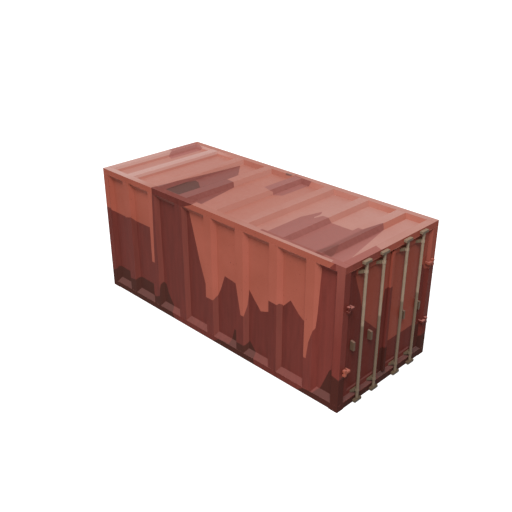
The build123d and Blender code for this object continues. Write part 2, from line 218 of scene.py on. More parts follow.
# How much dust lies on the roof's paint and its slopes, and how far its primer has faded
DUST_REACH = (0.0, 1.0)
PAINT_DUST = [
    (-3.040, 0.150), (-2.000, 0.110), (-1.650, 0.045), (-0.900, 0.045), (0.300, 0.040),
    (0.600, 0.050), (0.900, 0.120), (1.600, 0.180), (3.040, 0.195),
]
WORN_FADE = [
    (-3.040, 1.000), (-2.700, 0.900), (-1.750, 0.500), (-1.600, 0.000), (-0.450, 0.000),
    (-0.250, 0.500), (0.400, 0.500), (1.000, 0.450), (1.600, 0.550), (2.360, 0.550),
    (2.400, 0.050), (2.520, 0.050), (2.560, 0.620), (2.720, 0.750), (2.800, 0.950),
    (3.040, 0.950),
]
SLOPE_DUST = [
    (-3.040, 0.230), (-1.750, 0.230), (-1.600, 0.800), (0.600, 0.850), (0.850, 0.320),
    (1.600, 0.240), (2.200, 0.000), (3.040, 0.000),
]
SLOPE_DUST_MORE = 3.0
DUST_SCALE = 1.6

# Slopes at the far side of the roof's troughs: darkened with painted shade, with less dust and no
# faded primer (metres)
FAR_SLOPE_SHADE = 0.22
FAR_SLOPE_DUST_FROM = -1.6
FAR_SLOPE_EVEN_FROM = 0.4
FAR_SLOPE_UNFADED_FROM = -0.3

# Dust on the near rail and the header, and on the far rail by its place; thin grime near the doors
RAIL_INSIDE = 1.09
HEADER_INSIDE = 2.885
RAIL_DUST = 0.075
FAR_RAIL_DUST = 0.195
FAR_RAIL_RISE = 0.028
THIN_GRIME_FROM = 1.5
THIN_GRIME = 0.65

# The walls are paler towards the door end, along them (metres), and so are their slopes, which also
# get a painted highlight
WALL_PALER_ALONG = (-2.4, 2.4)
WALL_PALER_SHARE = 0.6
PRIMER_PALER_ALONG = (1.7, 2.8)
PRIMER_PALER_SHARE = 0.75
SLOPE_HIGHLIGHT_RAMP = (-3.2, -1.1)
SLOPE_HIGHLIGHT_SHARE = 0.13
SLOPE_BELOW_MORE = 1.2
SLOPE_ABOVE_LESS = 0.75
SLOPE_GRIMY_LESS = 0.8
EVEN_FROM = 2.0

# The closed end has the wear of the walls from this far along them (metres)
FRONT_TURN = 1.25

# Edges of the worn patches, and the reach of each step of a drawn line (metres)
SPAN_LENGTH = 1.1
EDGE_BLUR = 0.006
EDGE_WAVER = 0.010
EDGE_SCALE = 9.0
GRIME_BLUR = 0.02
INSIDE_BLUR = 0.02

# Texture of the paint: the scales of its noises, where chips and specks begin, and its bumps
CLOUD_SCALE = 1.1
STREAK_SCALE = 14.0
STREAK_CONTRAST = 1.1
ROOF_CONTRAST = 0.45
GRAIN_SCALE = 60.0
CHIP_SCALE = 22.0
CHIP_LEVEL = 0.665
SPECK_SCALE = 38.0
SPECK_LEVEL = 0.70
SPECK_SHARE = 0.7
DENT_SCALE = 2.6
PAINT_BUMP = 0.0012

# How far a normal leans along an axis, on each kind of face, and how soft the step is
LEVEL = 0.9
FLAT = 0.95
AHEAD = 0.93
LEDGE = (0.45, 0.8)
SLOPING = 0.3
TURNED = 0.5
BELOW = 0.8
TURN_BLUR = 0.1

# Gloss of each finish, low because a reflection sees the white studio
WALL_GLOSS = 0.06
ROOF_GLOSS = 0.3
FRAME_GLOSS = 0.035
LEAF_GLOSS = 0.03
HINGE_GLOSS = 0.04
GEAR_GLOSS = 0.1
DULL_GLOSS = 0.2

# Lock gear: heights where its tone changes, its front's painted shade, and where the collars start
ROD_TONE_HEIGHT = 1.44
BRACKET_TONE_HEIGHT = 2.2
BRACKET_FRONT_SHADE = 0.55
CATCH_FRONT_SHADE = 0.9
HINGE_FRONT_SHADE = 0.75
COLLAR_PLACE = 3.031
GEAR_GRAIN_SCALE = 30.0
GEAR_RUST_SCALE = 24.0
GEAR_RUST_LEVEL = 0.64
GEAR_RUST_SHARE = 0.6
GEAR_BUMP = 0.0008

# Height between the lower hinges and the upper ones (metres), and how worn and dusty they are
HINGE_MIDDLE = 1.2
HINGE_WORN_SHARE = 0.3
HINGE_DUST_SHARE = 0.5
HINGE_DUST_ON_PAINT = 0.85

# Scuffs inside, and the floor's plywood sheets (metres)
SCUFF_SCALE = 16.0
SCUFF_LEVEL = 0.60
PLY_GRAIN_SCALE = 24.0
STAIN_SCALE = 1.8
STAIN_LEVEL = 0.52
PLY_HALF_SHEET = 0.6
PLY_JOINT = 0.002


class Graph:
    """A node tree that is being built, with short calls for the steps that the finishes share."""

    def __init__(self, tree):
        self.tree = tree

    def feed(self, socket, value):
        if isinstance(value, bpy.types.NodeSocket):
            self.tree.links.new(value, socket)
        else:
            socket.default_value = value

    def node(self, kind, inputs=(), **settings):
        made = self.tree.nodes.new(kind)
        for name, value in settings.items():
            setattr(made, name, value)
        for name, value in dict(inputs).items():
            self.feed(made.inputs[name], value)
        return made

    def math(self, operation, first, second=0.0, third=0.0, clamp=False):
        inputs = {0: first, 1: second, 2: third}
        return self.node("ShaderNodeMath", inputs, operation=operation, use_clamp=clamp).outputs[0]

    def scaled(self, value, gain, lift, clamp=False):
        """Value times gain, plus lift."""
        return self.math("MULTIPLY_ADD", value, gain, lift, clamp)

    def blend(self, share, first, second):
        """Colour that goes from first to second as share goes from 0 to 1."""
        made = self.node("ShaderNodeMix", {0: share, 6: first, 7: second}, data_type="RGBA")
        return made.outputs[2]

    def between(self, share, first, second):
        """Number that goes from first to second as share goes from 0 to 1."""
        made = self.node("ShaderNodeMix", {0: share, 2: first, 3: second}, data_type="FLOAT")
        return made.outputs[0]

    def above(self, value, edge, blur=EDGE_BLUR):
        """1 where value is above edge, 0 where it is below, and a soft step over blur."""
        lead = self.math("SUBTRACT", value, edge)
        return self.scaled(lead, 1 / blur, 0.5, clamp=True)

    def both(self, first, second):
        return self.math("MULTIPLY", first, second)

    def either(self, first, second):
        return self.math("MAXIMUM", first, second)

    def rest(self, share):
        """What a share leaves of 1."""
        return self.math("SUBTRACT", 1.0, share)

    def without(self, first, second):
        return self.math("MULTIPLY", first, self.rest(second))

    def ramp(self, value, reach):
        """0 up to the reach's start, 1 past its end, and even between them."""
        start, end = reach
        rise = 1.0 / (end - start)
        return self.scaled(value, rise, -start * rise, clamp=True)

    def span(self, along, points, reach):
        """Height of a short drawn line of (along, height) points, at each place along it."""
        start, end = points[0][0], points[-1][0]
        low, high = reach
        share = self.node("ShaderNodeMapRange", {0: along, 1: start, 2: end}).outputs[0]
        drawn = self.node("ShaderNodeFloatCurve", {1: share})
        curve = drawn.mapping.curves[0]
        shares = [((x - start) / (end - start), (y - low) / (high - low)) for x, y in points]
        curve.points[0].location = shares[0]
        curve.points[1].location = shares[-1]
        for place in shares[1:-1]:
            curve.points.new(*place)
        for point in curve.points:
            point.handle_type = "VECTOR"
        drawn.mapping.update()
        return self.scaled(drawn.outputs[0], high - low, low)

    def line(self, along, points, reach):
        """Height of a long drawn line, in spans that are short enough to keep its corners sharp."""
        drawn, start = None, 0
        while start < len(points) - 1:
            end = start + 1
            while end < len(points) - 1 and points[end + 1][0] - points[start][0] < SPAN_LENGTH:
                end += 1
            piece = self.span(along, points[start:end + 1], reach)
            beyond = self.math("GREATER_THAN", along, points[start][0])
            drawn = piece if drawn is None else self.between(beyond, drawn, piece)
            start = end
        return drawn

    def noise(self, place, scale, detail=3.0, roughness=0.55):
        inputs = {"Vector": place, "Scale": scale, "Detail": detail, "Roughness": roughness}
        return self.node("ShaderNodeTexNoise", inputs).outputs["Fac"]

    def wavered(self, spot, value):
        """A distance with a small waver, so that no worn edge runs quite straight."""
        noise = self.noise(spot, EDGE_SCALE, 4.0)
        waver = self.scaled(noise, EDGE_WAVER * 2, -EDGE_WAVER)
        return self.math("ADD", value, waver)

    def stretched(self, place, along, across, up):
        """Place with each direction scaled, which turns round spots into streaks."""
        inputs = {0: place, 1: (along, across, up)}
        return self.node("ShaderNodeVectorMath", inputs, operation="MULTIPLY").outputs[0]

    def place(self):
        """Place on the piece, its three distances, and which way the surface faces."""
        found = self.node("ShaderNodeTexCoord")
        apart = self.node("ShaderNodeSeparateXYZ", {0: found.outputs["Object"]})
        faces = self.node("ShaderNodeSeparateXYZ", {0: found.outputs["Normal"]})
        return found.outputs["Object"], list(apart.outputs), list(faces.outputs)


def new_finish(name, specular):
    """An empty material, its graph and its shader, ready to be fed."""
    finish = bpy.data.materials.new(name)
    finish.use_nodes = True
    finish.node_tree.nodes.clear()
    graph = Graph(finish.node_tree)
    shader = graph.node("ShaderNodeBsdfPrincipled")
    graph.feed(shader.inputs["Specular IOR Level"], specular)
    surface = graph.node("ShaderNodeOutputMaterial")
    graph.feed(surface.inputs["Surface"], shader.outputs[0])
    return finish, graph, shader


def end_finish(graph, shader, colour, rough, height, bump=PAINT_BUMP):
    """Feed the shader with its colour, its roughness and its small bumps."""
    graph.feed(shader.inputs["Base Color"], colour)
    graph.feed(shader.inputs["Roughness"], rough)
    bumps = graph.node("ShaderNodeBump", {"Height": height, "Distance": bump, "Strength": 0.6})
    graph.feed(shader.inputs["Normal"], bumps.outputs[0])


def wall_wear(graph, spot, apart):
    """How the side walls have worn: fresh paint above the drawn line, grime below the lower one."""
    along, height = apart[0], graph.wavered(spot, apart[2])
    paint = graph.above(height, graph.line(along, WALL_PAINT_LINE, HEIGHTS))
    slant = graph.scaled(height, -RAIL_SLANT, RAIL_SLANT * RAIL_BOTTOM)
    slanted = graph.math("ADD", along, slant)
    worn = graph.both(graph.above(along, RAIL_WORN_FROM), graph.above(RAIL_WORN_TO, slanted))
    slant = graph.scaled(height, -RAIL_SLANT_AGAIN, RAIL_SLANT_AGAIN * RAIL_BOTTOM)
    worn = graph.either(worn, graph.above(graph.math("ADD", along, slant), RAIL_WORN_AGAIN))
    on_rail = graph.above(apart[2], RAIL_BOTTOM)
    paint = graph.between(on_rail, paint, graph.rest(worn))
    return paint, graph.above(graph.line(along, WALL_GRIME_LINE, HEIGHTS), height, GRIME_BLUR)


def roof_wear(graph, spot, apart):
    """How the roof has worn: patches between two drawn lines, with darker ones inside them."""
    along, across = apart[0], graph.wavered(spot, apart[1])
    low = graph.above(across, graph.line(along, ROOF_WORN_LOW, WIDTHS))
    high = graph.above(graph.line(along, ROOF_WORN_HIGH, WIDTHS), across)
    worn = graph.both(low, high)
    low = graph.above(across, graph.line(along, ROOF_GRIME_LOW, WIDTHS), GRIME_BLUR)
    high = graph.above(graph.line(along, ROOF_GRIME_HIGH, WIDTHS), across, GRIME_BLUR)
    near_doors = graph.above(along, THIN_GRIME_FROM, TURN_BLUR)
    thin = graph.scaled(near_doors, -THIN_GRIME, 1.0)
    return graph.rest(worn), graph.both(graph.both(low, high), thin)


def door_wear(graph, spot, apart):
    """How the doors and the posts beside them have worn."""
    across, height = apart[1], graph.wavered(spot, apart[2])
    paint = graph.above(height, graph.line(across, DOOR_PAINT_LINE, HEIGHTS))
    header = graph.above(graph.wavered(spot, across), HEADER_WORN_TO)
    paint = graph.between(graph.above(apart[2], RAIL_BOTTOM), paint, header)
    grime = graph.above(graph.line(across, DOOR_GRIME_LINE, HEIGHTS), height, 0.03)
    on_post = graph.both(graph.above(across, DULL_POST), DULL_POST_SHARE)
    return paint, graph.either(grime, graph.without(on_post, paint))


def paint_coat(graph, spot, wear, colours, fades=(0.0, 0.0), contrast=STREAK_CONTRAST):
    """Colour, roughness and height of weathered paint over primer, with chips, streaks and rust."""
    paint, grime = wear
    fresh, faded, primer, primer_pale, dirt = colours
    broad = graph.noise(spot, CLOUD_SCALE, 2.0)
    streaks = graph.noise(graph.stretched(spot, 1.0, 1.0, 0.12), STREAK_SCALE, 3.0)
    fine = graph.noise(spot, GRAIN_SCALE, 4.0, 0.7)
    chips = graph.above(graph.noise(spot, CHIP_SCALE, 6.0, 0.72), CHIP_LEVEL, 0.02)
    paint = graph.without(paint, chips)
    cloud = graph.scaled(graph.math("SUBTRACT", broad, 0.5), 1.6, 0.3)
    cloud = graph.math("ADD", cloud, fades[0], clamp=True)
    streak = graph.scaled(graph.math("SUBTRACT", streaks, 0.5), contrast, 0.18)
    streak = graph.math("ADD", streak, fades[1], clamp=True)
    top = graph.blend(cloud, fresh, faded)
    under = graph.blend(streak, primer, primer_pale)
    colour = graph.blend(paint, under, top)
    dirty = graph.blend(streak, dirt, graph.blend(0.3, dirt, primer))
    colour = graph.blend(grime, colour, dirty)
    specks = graph.above(graph.noise(spot, SPECK_SCALE, 5.0, 0.75), SPECK_LEVEL, 0.03)
    colour = graph.blend(graph.both(specks, SPECK_SHARE), colour, RUST)
    shade = graph.scaled(fine, 0.16, 0.92)
    tint = graph.node("ShaderNodeHueSaturation", {"Value": shade, "Color": colour})
    rough = graph.scaled(streaks, 0.2, 0.44)
    rough = graph.scaled(paint, -0.08, rough)
    rough = graph.scaled(grime, 0.2, rough, clamp=True)
    layer = graph.scaled(fine, 0.25, graph.both(paint, 0.35))
    height = graph.scaled(graph.noise(spot, DENT_SCALE, 1.0), 2.0, layer)
    return tint.outputs[0], rough, height


def far_sloping(graph, faces, along, start, blur):
    """1 on the slopes at the far side of the roof's troughs, from a place on towards the doors."""
    return graph.both(graph.above(-SLOPING, faces[1], TURN_BLUR), graph.above(along, start, blur))


def roof_fades(graph, apart, faces):
    """How far the roof's paint and primer have faded, the primer less on its slopes."""
    share = graph.scaled(graph.above(faces[2], LEVEL, TURN_BLUR), 0.35, 0.65)
    unfaded = far_sloping(graph, faces, apart[0], FAR_SLOPE_UNFADED_FROM, 0.1)
    faded = graph.span(apart[0], WORN_FADE, DUST_REACH)
    return 0.0, graph.both(faded, graph.without(share, unfaded))


def walls_paler(graph, apart):
    """How much paler the walls' paint and primer are, more towards the door end."""
    paint = graph.both(graph.ramp(apart[0], WALL_PALER_ALONG), WALL_PALER_SHARE)
    return paint, graph.both(graph.ramp(apart[0], PRIMER_PALER_ALONG), PRIMER_PALER_SHARE)


def dusty(graph, faces, colour, share=0.3, dust=LEDGE_DUST):
    """Ledges that face partly upwards gather pale dust."""
    low, high = LEDGE
    lifted = graph.both(graph.above(faces[2], low, 0.2), graph.above(high, faces[2], TURN_BLUR))
    return graph.blend(graph.both(lifted, share), colour, dust)


def settled(graph, spot, apart, faces, paint, colour):
    """Dust and a painted sheen on the roof, thinner on its slopes and where the paint has worn off,
    and painted shade on its far slopes.
    """
    along, across = apart[0], apart[1]
    dust = graph.both(paint, graph.span(along, PAINT_DUST, DUST_REACH))
    on_edge = graph.either(graph.above(-RAIL_INSIDE, across), graph.above(along, HEADER_INSIDE))
    dust = graph.scaled(graph.both(on_edge, paint), RAIL_DUST, dust)
    dust = graph.both(dust, graph.scaled(graph.noise(spot, DUST_SCALE, 3.0), 0.8, 0.6))
    flat = graph.above(faces[2], LEVEL, TURN_BLUR)
    far_slope = far_sloping(graph, faces, along, FAR_SLOPE_DUST_FROM, 0.3)
    swept = graph.scaled(graph.above(along, FAR_SLOPE_EVEN_FROM, 0.4), -0.6, 1.0)
    slope = graph.span(along, SLOPE_DUST, DUST_REACH)
    slope = graph.both(graph.without(slope, graph.both(far_slope, swept)), SLOPE_DUST_MORE)
    # Painted shade on the far slopes towards the closed end
    dull = graph.both(far_slope, graph.both(graph.above(0.0, along, 0.6), FAR_SLOPE_SHADE))
    colour = graph.blend(dull, colour, ROOF_WORN)
    # Painted sheen on the ribs towards the closed end
    raised = graph.above(apart[2], ROOF_RIB_BOTTOM)
    far = graph.scaled(along, -SHEEN_RISE, SHEEN_START * SHEEN_RISE, clamp=True)
    most = graph.both(SHEEN_MOST, graph.between(paint, SHEEN_WHERE_WORN, 1.0))
    sheen = graph.both(graph.both(raised, far), most)
    share = graph.both(dust, graph.between(flat, slope, 1.0))
    share = graph.math("ADD", share, sheen, clamp=True)
    far_rail = graph.both(flat, graph.above(across, RAIL_INSIDE))
    rail_share = graph.both(graph.scaled(along, FAR_RAIL_RISE, FAR_RAIL_DUST), paint)
    return graph.blend(graph.between(far_rail, share, rail_share), colour, ROOF_DUST_AND_SHEEN)


def slope_highlight(graph, along, faces, flatness, state, colour):
    """The pressings' slopes get a painted highlight, most where they face down and least in grime.
    """
    paint, grime = state
    aside = graph.above(FLAT, graph.math("ABSOLUTE", flatness), 0.06)
    near_doors = graph.above(along, EVEN_FROM, 0.5)
    share = graph.without(graph.ramp(along, SLOPE_HIGHLIGHT_RAMP), graph.without(near_doors, paint))
    share = graph.without(share, graph.both(grime, SLOPE_GRIMY_LESS))
    facing_down = graph.above(-SLOPING, faces[2], TURN_BLUR)
    facing_up = graph.above(faces[2], SLOPING, TURN_BLUR)
    tilt = graph.scaled(facing_down, SLOPE_BELOW_MORE, 1.0)
    tilt = graph.scaled(facing_up, -SLOPE_ABOVE_LESS, tilt)
    share = graph.both(graph.both(aside, share), graph.both(tilt, SLOPE_HIGHLIGHT_SHARE))
    return graph.blend(share, colour, PALE_AND_HIGHLIGHT)


def shaded_front(graph, faces, colour, shade):
    """Painted shade: what faces along the container is dimmed to this share."""
    ahead = graph.both(graph.above(faces[0], AHEAD, 0.04), 1.0 - shade)
    value = graph.rest(ahead)
    return graph.node("ShaderNodeHueSaturation", {"Value": value, "Color": colour}).outputs[0]


def inner_coat(graph, spot, colour, inside):
    """The side turned to the cargo has plain paint with scuffs."""
    scuffs = graph.noise(graph.stretched(spot, 0.25, 0.25, 1.6), SCUFF_SCALE, 5.0, 0.7)
    scuffed = graph.blend(graph.above(scuffs, SCUFF_LEVEL, 0.08), INNER_PAINT, INNER_SCUFF)
    return graph.blend(inside, colour, scuffed)


WALL_COLOURS = (WALL_PAINT, WALL_PAINT_FADED, WALL_PRIMER, WALL_PRIMER_PALE, WALL_GRIME)
ROOF_COLOURS = (ROOF_PAINT, ROOF_PAINT_FADED, ROOF_WORN, ROOF_WORN_PALE, ROOF_GRIME)
DOOR_COLOURS = (DOOR_PAINT, DOOR_PAINT_FADED, DOOR_PRIMER, DOOR_PRIMER_PALE, DOOR_GRIME)
HINGE_COLOURS = (HINGE_PAINT, HINGE_PAINT, DOOR_PRIMER, DOOR_PRIMER_PALE, DOOR_GRIME)


def wall_finish():
    """The side walls, with plain paint on their inner side."""
    finish, graph, shader = new_finish("wall_paint", WALL_GLOSS)
    spot, apart, faces = graph.place()
    state = wall_wear(graph, spot, apart)
    coat, rough, height = paint_coat(graph, spot, state, WALL_COLOURS, walls_paler(graph, apart))
    colour = slope_highlight(graph, apart[0], faces, faces[1], state, dusty(graph, faces, coat))
    inside = graph.above(0.0, graph.both(faces[1], graph.math("SIGN", apart[1])), INSIDE_BLUR)
    end_finish(graph, shader, inner_coat(graph, spot, colour, inside), rough, height)
    return finish


def front_finish():
    """The closed end repeats the walls' wear across its width."""
    finish, graph, shader = new_finish("front_paint", WALL_GLOSS)
    spot, apart, faces = graph.place()
    turned = graph.math("SUBTRACT", FRONT_TURN, apart[1])
    state = wall_wear(graph, spot, (turned, apart[0], apart[2]))
    coat, rough, height = paint_coat(graph, spot, state, WALL_COLOURS)
    colour = slope_highlight(graph, turned, faces, faces[0], state, dusty(graph, faces, coat))
    inside = graph.above(faces[0], 0.0, INSIDE_BLUR)
    end_finish(graph, shader, inner_coat(graph, spot, colour, inside), rough, height)
    return finish


def roof_coat(graph, spot, apart, faces):
    """The roof's weathered paint with its dust, its roughness and its height."""
    state, fades = roof_wear(graph, spot, apart), roof_fades(graph, apart, faces)
    coat, rough, height = paint_coat(graph, spot, state, ROOF_COLOURS, fades, ROOF_CONTRAST)
    return settled(graph, spot, apart, faces, state[0], coat), rough, height


def roof_finish():
    """The roof panel, with plain paint below."""
    finish, graph, shader = new_finish("roof_paint", ROOF_GLOSS)
    spot, apart, faces = graph.place()
    colour, rough, height = roof_coat(graph, spot, apart, faces)
    inside = graph.above(0.0, faces[2], INSIDE_BLUR)
    end_finish(graph, shader, inner_coat(graph, spot, colour, inside), rough, height)
    return finish


def end_coat(graph, spot, apart, faces):
    """Colour of the door end's posts, header, sill and surround, with a painted highlight on their
    slopes and painted light under the header.
    """
    state = door_wear(graph, spot, apart)
    paint, grime = state
    coat = paint_coat(graph, spot, state, DOOR_COLOURS)[0]
    colour = dusty(graph, faces, coat, SILL_DUST_SHARE, SILL_DUST)
    worn_or_grimy = graph.rest(graph.without(paint, grime))
    colour = slope_highlight(graph, DOOR_PLACE, faces, faces[0], (paint, worn_or_grimy), colour)
    share = graph.between(grime, PALE_POST_SHARE, PALE_POST_GRIMY_SHARE)
    colour = graph.blend(graph.both(graph.above(PALE_POST, apart[1]), share), colour, POST_PALE)
    at_left = graph.above(HEADER_PALE_FROM, apart[1], HEADER_PALE_BLUR)
    on_header = graph.both(graph.above(apart[2], RAIL_BOTTOM), at_left)
    colour = graph.blend(graph.both(on_header, HEADER_PALE_SHARE), colour, HEADER_PALE)
    # Painted light on down-facing faces under the header, which lifts their shade
    facing_down = graph.above(-SLOPING, faces[2], TURN_BLUR)
    lit_under_header = graph.both(facing_down, graph.above(apart[2], UNDER_HEADER))
    return graph.blend(lit_under_header, colour, UNDER_HEADER_LIGHT)


def frame_finish():
    """Posts, rails and corners: each of their faces wears as the wall, roof or end beside it."""
    finish, graph, shader = new_finish("frame_paint", FRAME_GLOSS)
    spot, apart, faces = graph.place()
    at_closed_end = graph.above(-TURNED, faces[0], TURN_BLUR)
    turned = graph.math("SUBTRACT", FRONT_TURN, apart[1])
    along = graph.between(at_closed_end, apart[0], turned)
    state = wall_wear(graph, spot, (along, apart[1], apart[2]))
    side, rough, height = paint_coat(graph, spot, state, WALL_COLOURS, walls_paler(graph, apart))
    lifted = graph.both(graph.ramp(apart[2], POST_FADE), POST_FADE_SHARE)
    side = graph.blend(graph.both(graph.above(apart[0], POST_PLACE), lifted), side, PALE_AND_HIGHLIGHT)
    at_door_end = graph.above(faces[0], TURNED, TURN_BLUR)
    colour = graph.blend(at_door_end, side, end_coat(graph, spot, apart, faces))
    upward = graph.above(faces[2], LEVEL, TURN_BLUR)
    colour = graph.blend(upward, colour, roof_coat(graph, spot, apart, faces)[0])
    below = graph.above(-BELOW, faces[2], TURN_BLUR)
    end_finish(graph, shader, graph.blend(below, colour, UNDERSEAL), rough, height)
    return finish


def leaf_finish():
    """The door leaves and the cover strip, with a painted highlight on the strip's left side and
    plain paint on their inner side.
    """
    finish, graph, shader = new_finish("door_paint", LEAF_GLOSS)
    spot, apart, faces = graph.place()
    paint, grime = door_wear(graph, spot, apart)
    state = (paint, graph.both(grime, LEAF_GRIME_SHARE))
    coat, rough, height = paint_coat(graph, spot, state, DOOR_COLOURS)
    # Painted highlight on the cover strip's left side
    on_strip = graph.above(apart[0], STRIP_FRONT, 0.002)
    to_left = graph.above(-TURNED, faces[1], TURN_BLUR)
    lit_strip_side = graph.without(graph.both(on_strip, to_left), grime)
    pale = graph.blend(paint, STRIP_WORN_HIGHLIGHT, HEADER_PALE)
    colour = dusty(graph, faces, coat, LEAF_DUST_SHARE, SILL_DUST)
    colour = graph.blend(graph.both(lit_strip_side, STRIP_HIGHLIGHT_SHARE), colour, pale)
    inside = graph.above(-0.2, faces[0], INSIDE_BLUR)
    end_finish(graph, shader, inner_coat(graph, spot, colour, inside), rough, height)
    return finish


def gear_finish(name, bright, dull, change, shade, collar=None, top=None):
    """Weathered galvanised steel, paler above a height, dimmed in front to a share as painted
    shade, and with a painted highlight on its tops where a top colour is given.
    """
    finish, graph, shader = new_finish(name, GEAR_GLOSS)
    spot, apart, faces = graph.place()
    grain = graph.noise(graph.stretched(spot, 1.0, 1.0, 0.3), GEAR_GRAIN_SCALE, 5.0, 0.65)
    waver = graph.scaled(graph.noise(spot, 12.0, 3.0), 0.06, -0.03)
    paler = graph.above(graph.math("ADD", apart[2], waver), change, 0.03)
    colour = graph.blend(paler, dull, bright)
    mottle = graph.scaled(grain, 1.5, -0.55, clamp=True)
    colour = shaded_front(graph, faces, graph.blend(mottle, colour, dull), shade)
    if top:
        # Painted highlight on the tops
        colour = graph.blend(graph.above(faces[2], TURNED, 0.2), colour, top)
    if collar:
        like_rod = graph.blend(paler, GEAR_STEEL_DULL, GEAR_STEEL)
        colour = graph.blend(graph.above(apart[0], collar), colour, like_rod)
    spots = graph.above(graph.noise(spot, GEAR_RUST_SCALE, 6.0, 0.7), GEAR_RUST_LEVEL, 0.05)
    colour = graph.blend(graph.both(spots, GEAR_RUST_SHARE), colour, RUST)
    rough = graph.scaled(grain, 0.3, 0.4)
    end_finish(graph, shader, colour, rough, grain, GEAR_BUMP)
    return finish


def hinge_finish():
    """The left leaf's lower hinge and the right one's upper keep their paint, the others don't."""
    finish, graph, shader = new_finish("hinge_paint", HINGE_GLOSS)
    spot, apart, faces = graph.place()
    right, low = graph.above(apart[1], 0.0), graph.above(HINGE_MIDDLE, apart[2])
    painted = graph.either(graph.without(low, right), graph.without(right, low))
    coat, rough, height = paint_coat(graph, spot, (painted, 0.0), HINGE_COLOURS)
    worn = graph.both(graph.both(right, painted), HINGE_WORN_SHARE)
    colour = shaded_front(graph, faces, graph.blend(worn, coat, DOOR_PRIMER), HINGE_FRONT_SHADE)
    upward = graph.above(faces[2], TURNED, TURN_BLUR)
    dust = graph.both(upward, graph.between(painted, HINGE_DUST_ON_PAINT, HINGE_DUST_SHARE))
    end_finish(graph, shader, graph.blend(dust, colour, HINGE_DUST), rough, height)
    return finish


def dull_finish(name, dark, pale, scale, roughness):
    """A dull, mottled finish for what lies below or behind."""
    finish, graph, shader = new_finish(name, DULL_GLOSS)
    mottle = graph.noise(graph.place()[0], scale, 5.0, 0.65)
    share = graph.scaled(mottle, 2.0, -0.5, clamp=True)
    rough = graph.scaled(mottle, 0.2, roughness - 0.1)
    end_finish(graph, shader, graph.blend(share, dark, pale), rough, mottle, 0.001)
    return finish


def ply_finish():
    """Floor of plywood sheets, with grain along the container and dark joints."""
    finish, graph, shader = new_finish("floor_ply", DULL_GLOSS)
    spot, apart, _ = graph.place()
    grain = graph.noise(graph.stretched(spot, 0.15, 2.0, 1.0), PLY_GRAIN_SCALE, 6.0, 0.6)
    stains = graph.above(graph.noise(spot, STAIN_SCALE, 4.0), STAIN_LEVEL, 0.2)
    share = graph.scaled(grain, 1.8, -0.4, clamp=True)
    colour = graph.blend(share, FLOOR_PLY_DARK, FLOOR_PLY)
    colour = graph.blend(graph.both(stains, 0.5), colour, FLOOR_PLY_DARK)
    joint = graph.above(PLY_JOINT, graph.math("PINGPONG", apart[0], PLY_HALF_SHEET), PLY_JOINT)
    colour = graph.blend(joint, colour, UNDERSEAL)
    rough = graph.scaled(grain, 0.2, 0.6)
    end_finish(graph, shader, colour, rough, graph.math("SUBTRACT", grain, joint), GEAR_BUMP)
    return finish


# Finishes on the container's own parts
frame_paint = frame_finish()
door_paint = leaf_finish()
rod_steel = gear_finish("rod_steel", GEAR_STEEL, GEAR_STEEL_DULL, ROD_TONE_HEIGHT, 1.0)
bracket_steel = gear_finish(
    "bracket_steel", GEAR_BROWN_PALE, GEAR_BROWN, BRACKET_TONE_HEIGHT, BRACKET_FRONT_SHADE
)
guide_steel = gear_finish(
    "guide_steel", GUIDE_STEEL, GEAR_BROWN, BRACKET_TONE_HEIGHT, BRACKET_FRONT_SHADE, collar=COLLAR_PLACE
)
catch_steel = gear_finish(
    "catch_steel", CATCH_SIDE, CATCH_SIDE, BRACKET_TONE_HEIGHT, CATCH_FRONT_SHADE, top=CATCH_TOP_HIGHLIGHT
)
rubber = dull_finish("door_rubber", RUBBER, RUBBER_PALE, 30.0, 0.65)
CAD_FINISHES = [
    (wall_finish(), ["left_side_wall", "right_side_wall"]),
    (front_finish(), ["front_wall"]),
    (roof_finish(), ["roof_panel"]),
    (frame_paint, [
        "front_left_post", "front_right_post", "door_left_post", "door_right_post",
        "top_corner_blocks", "front_left_bottom_fitting", "front_right_bottom_fitting",
        "door_left_bottom_fitting", "door_right_bottom_fitting", "left_top_rail",
        "right_top_rail", "left_bottom_rail", "right_bottom_rail", "front_sill",
        "front_header", "door_header", "door_sill", "door_surround",
    ]),
    (door_paint, [
        "left_door_frame", "right_door_frame", "left_door_panel", "right_door_panel",
        "cover_strip",
    ]),
    (hinge_finish(), [
        "left_hinge_lugs", "right_hinge_lugs", "left_hinge_blades", "right_hinge_blades",
    ]),
    (rod_steel, [
        "left_inner_lock_rod", "left_outer_lock_rod", "right_inner_lock_rod",
        "right_outer_lock_rod",
    ]),
    (bracket_steel, ["lower_keepers", "upper_keepers"]),
    (catch_steel, ["left_catch_boxes", "right_catch_boxes"]),
    (guide_steel, ["left_rod_guides", "right_rod_guides"]),
    (dull_finish("underseal", UNDERSEAL, UNDERSEAL_PALE, 8.0, 0.8), ["cross_members"]),
    (ply_finish(), ["floor"]),
]
for finish, members in CAD_FINISHES:
    for member in members:
        slots = nodes[member].data.materials
        slots.clear()
        slots.append(finish)


# Beads, rivets and screws: each kind is laid along its paths by Geometry Nodes (metres)
BEAD_VALUES = {"Radius": 0.002, "Ring": 0.006, "Hollow": 0.72}
BEAD_SIDES = 5
HEAD_SIDES = 12
RIVET_VALUES = {"Radius": 0.005, "Rise": 0.002, "Pitch": 0.16, "Facing": (-1.0, 0.0, 0.0)}
RIVET_INSET = 0.016
SCREW_VALUES = {"Radius": 0.006, "Rise": 0.0008, "Pitch": 0.14, "Facing": (0.0, 0.0, 1.0)}
SCREW_INSET = 0.04
MEMBER_PITCH = 0.45
MEMBERS_EACH_WAY = 6

# The lock rods' places across the doors, and the height of their guides (metres)
RODS = (-0.7485, -0.306, 0.306, 0.7485)
GUIDE_HEIGHT = 0.045

